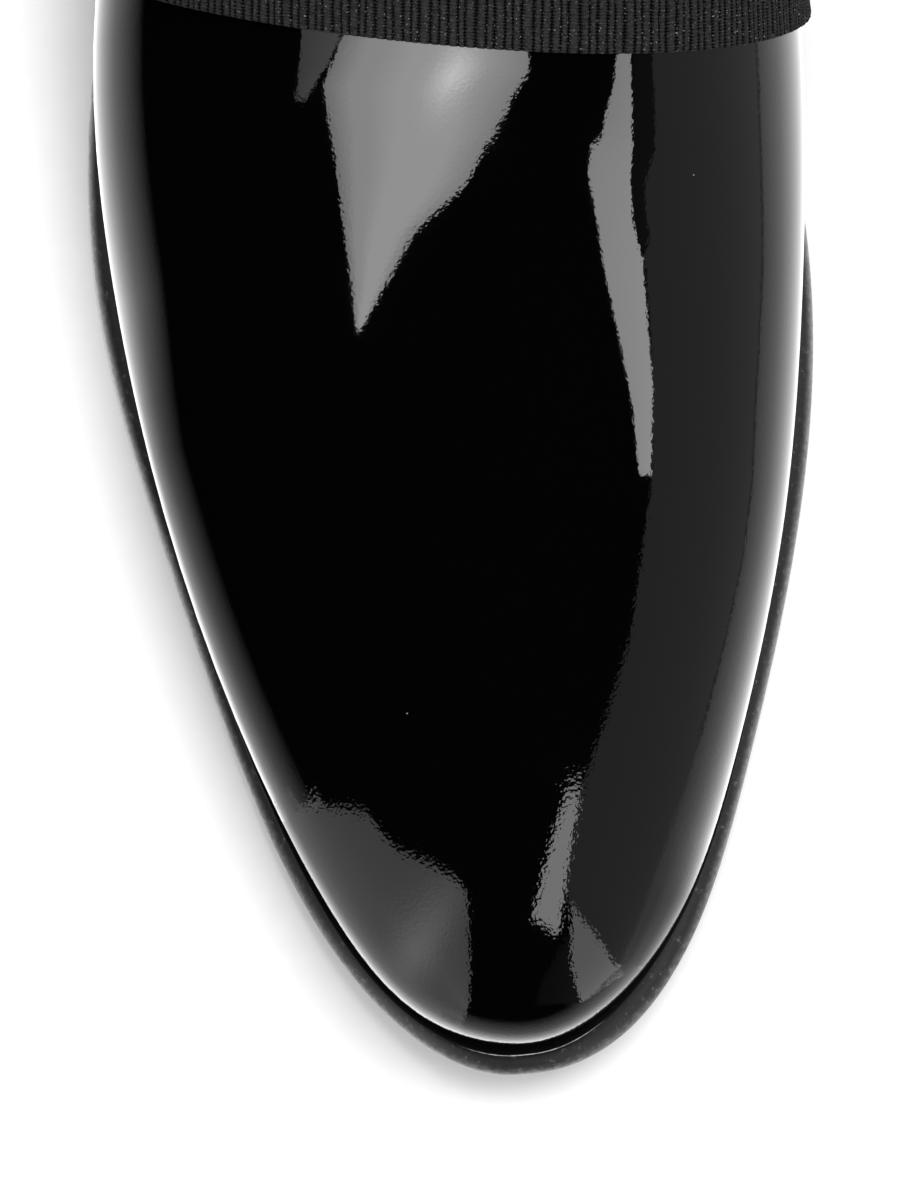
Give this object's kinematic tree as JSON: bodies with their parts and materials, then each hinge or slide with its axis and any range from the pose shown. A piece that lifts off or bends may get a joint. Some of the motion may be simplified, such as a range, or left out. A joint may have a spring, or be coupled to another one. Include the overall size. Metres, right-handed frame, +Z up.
{
  "type": "patent leather loafer",
  "caption": "Right-foot formal slip-on shoe in black patent leather with a ribbed ribbon band over the instep, an open collar, a thin leather sole and a low heel.",
  "frame": {"origin": "middle of the shoe's box in plan, on the floor plane that the heel and the forefoot stand on", "axes": "+X towards the toe, +Y towards the inner (medial) side of the foot, +Z up"},
  "size_m": [0.3118, 0.106, 0.0929],
  "materials": {
    "patent_leather": "mirror gloss patent",
    "grosgrain": "matte ribbed ribbon",
    "sole_leather": "satin dyed edge",
    "heel_rubber": "matte",
    "lining_leather": "soft matte"
  },
  "bodies": {
    "root": {"outsole": "sole_leather", "welt": "sole_leather", "heel_stack": "sole_leather", "heel_top_piece": "heel_rubber", "insole": "lining_leather", "upper": "patent_leather", "grosgrain_band": "grosgrain"}
  },
  "joints": []
}
